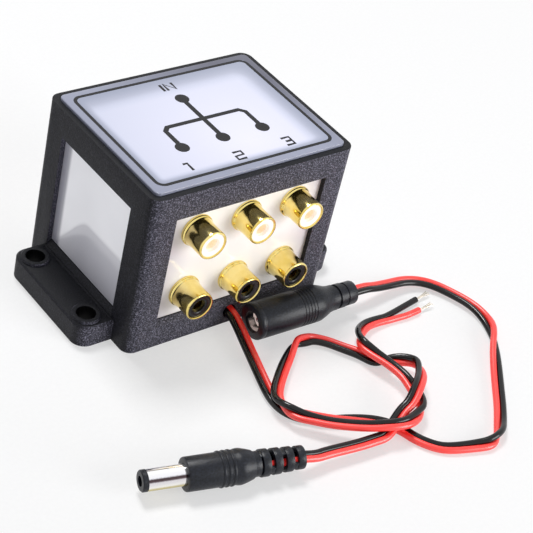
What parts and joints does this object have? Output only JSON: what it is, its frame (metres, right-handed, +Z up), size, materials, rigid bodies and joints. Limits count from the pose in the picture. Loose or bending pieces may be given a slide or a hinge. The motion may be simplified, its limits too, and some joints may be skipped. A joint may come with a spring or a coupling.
{
  "type": "phono signal distribution block",
  "caption": "Black screw-down box with lit opal panels that splits a stereo phono input into output jack pairs, with a power lead and a loose plug lead.",
  "frame": {"origin": "on the floor under the centre of the box's outline", "axes": "+X along the row of output jacks, towards the ear on the viewer's right when the output jacks face the viewer; -Y out of the output jacks; +Z up"},
  "size_m": [0.1294, 0.1263, 0.0508],
  "materials": {
    "housing_plastic": "sand-textured matt",
    "opal_acrylic": "polished opal, lit from inside",
    "gold_plate": "polished gold plate",
    "white_insert": "gloss",
    "black_insert": "gloss",
    "nickel_plate": "polished nickel plate",
    "tinned_copper": "tinned",
    "circuit_board": "solder mask",
    "led_package": "gloss",
    "tie_nylon": "satin",
    "cord_vinyl": "smooth red and black vinyl",
    "black_wire": "smooth vinyl",
    "red_wire": "smooth vinyl",
    "white_wire": "smooth vinyl",
    "socket_plastic": "satin",
    "plug_plastic": "satin",
    "brass_contact": "bright",
    "bare_copper": "bare copper"
  },
  "bodies": {
    "root": {"bare_strands": "bare_copper", "black_power_wire": "black_wire", "black_tail": "black_wire", "bottom_cover": "housing_plastic", "cord_tie": "tie_nylon", "front_panel": "opal_acrylic", "ground_bus": "tinned_copper", "ground_lead": "black_wire", "housing": "housing_plastic", "in_lower_contact": "gold_plate", "in_lower_insert": "black_insert", "in_lower_shell": "gold_plate", "in_upper_contact": "gold_plate", "in_upper_insert": "white_insert", "in_upper_shell": "gold_plate", "jack_nuts": "nickel_plate", "led_board": "circuit_board", "leds": "led_package", "left_panel": "opal_acrylic", "left_signal_lead": "white_wire", "out1_lower_contact": "gold_plate", "out1_lower_insert": "black_insert", "out1_lower_shell": "gold_plate", "out1_upper_contact": "gold_plate", "out1_upper_insert": "white_insert", "out1_upper_shell": "gold_plate", "out2_lower_contact": "gold_plate", "out2_lower_insert": "black_insert", "out2_lower_shell": "gold_plate", "out2_upper_contact": "gold_plate", "out2_upper_insert": "white_insert", "out2_upper_shell": "gold_plate", "out3_lower_contact": "gold_plate", "out3_lower_insert": "black_insert", "out3_lower_shell": "gold_plate", "out3_upper_contact": "gold_plate", "out3_upper_insert": "white_insert", "out3_upper_shell": "gold_plate", "plug_barrel": "nickel_plate", "plug_body": "plug_plastic", "plug_contact": "brass_contact", "plug_insulator": "plug_plastic", "plug_lead": "cord_vinyl", "rear_panel": "opal_acrylic", "red_power_wire": "red_wire", "red_tail": "red_wire", "right_panel": "opal_acrylic", "right_signal_lead": "red_wire", "signal_board": "circuit_board", "socket_body": "socket_plastic", "socket_lead": "cord_vinyl", "socket_pin": "nickel_plate", "socket_sleeve": "nickel_plate", "top_plate": "opal_acrylic"}
  },
  "joints": []
}
